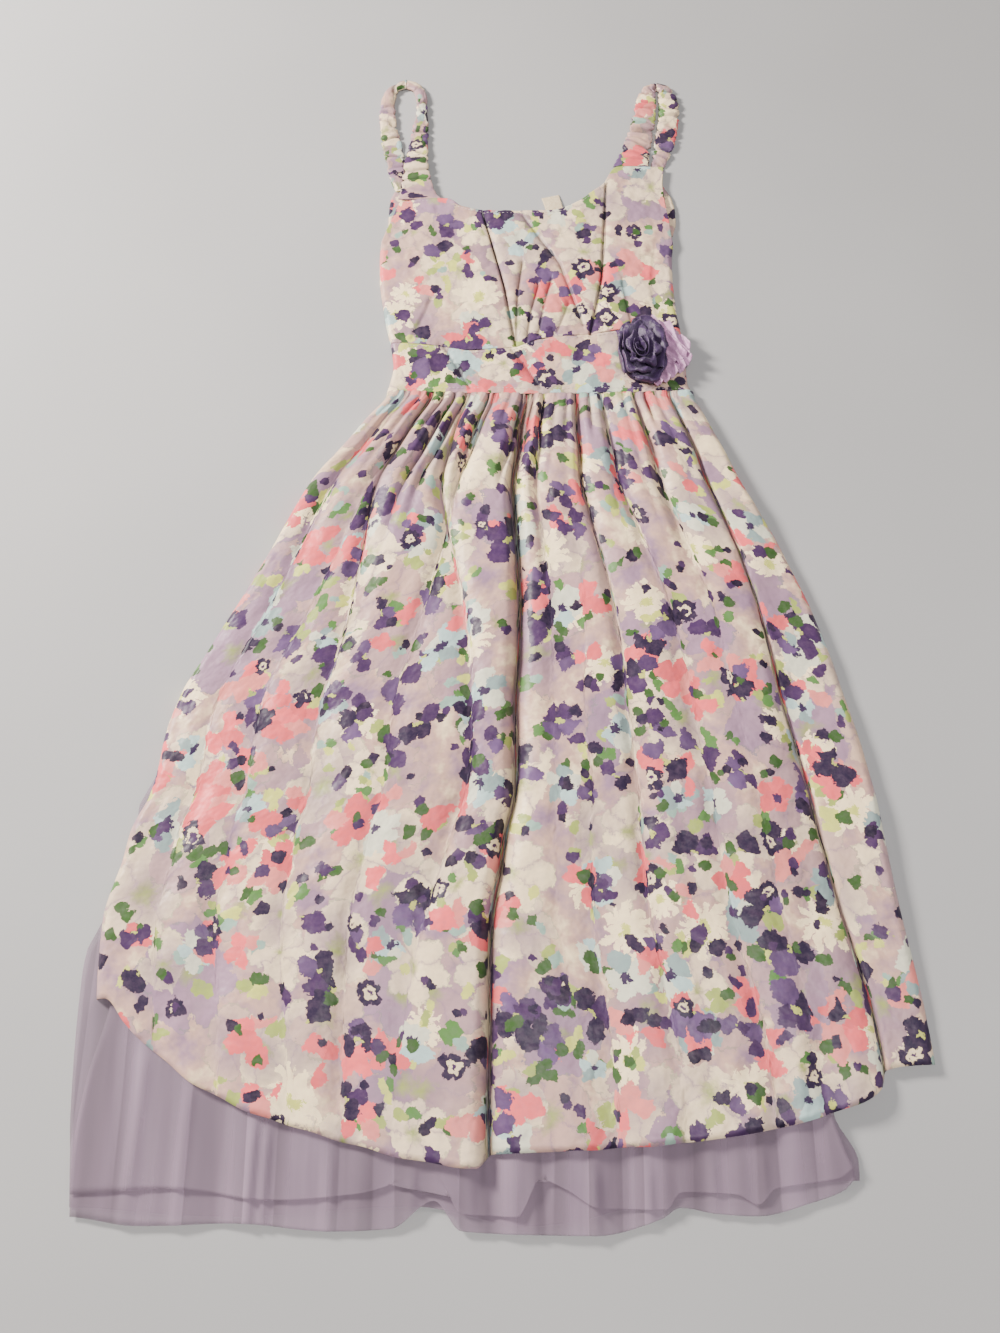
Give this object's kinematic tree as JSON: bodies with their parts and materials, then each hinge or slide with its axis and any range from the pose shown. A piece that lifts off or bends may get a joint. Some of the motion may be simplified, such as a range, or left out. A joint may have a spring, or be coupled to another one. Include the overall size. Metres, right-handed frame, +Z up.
{
  "type": "sundress",
  "caption": "Sleeveless party sundress laid flat: fitted bodice with ruched shoulder straps, waist band with a fabric rose, gathered skirt and a net petticoat below its hem.",
  "frame": {"origin": "middle of the dress's bounding box seen from above, on the surface that it lies on", "axes": "+Z up from the surface, +Y from the hem to the neck, +X to the viewer's right with the front up"},
  "size_m": [0.6318, 1.0958, 0.0276],
  "materials": {
    "printed_satin": "soft satin with a dense small floral print on a blush ground",
    "net": "fine matte lilac net",
    "violet_satin": "dark violet satin",
    "lilac_satin": "lilac satin",
    "woven_label": "cream woven tape, blank"
  },
  "bodies": {
    "root": {"skirt_front": "printed_satin", "skirt_back": "printed_satin", "bodice_cup_left": "printed_satin", "bodice_centre": "printed_satin", "bodice_cup_right": "printed_satin", "bodice_back": "printed_satin", "midriff_band_front": "printed_satin", "midriff_band_back": "printed_satin", "strap_left_front": "printed_satin", "strap_left_back": "printed_satin", "strap_right_front": "printed_satin", "strap_right_back": "printed_satin", "petticoat_front_upper": "net", "petticoat_front_lower": "net", "petticoat_back": "net", "rosette_dark": "violet_satin", "rosette_lilac": "lilac_satin", "neck_label": "woven_label"}
  },
  "joints": []
}
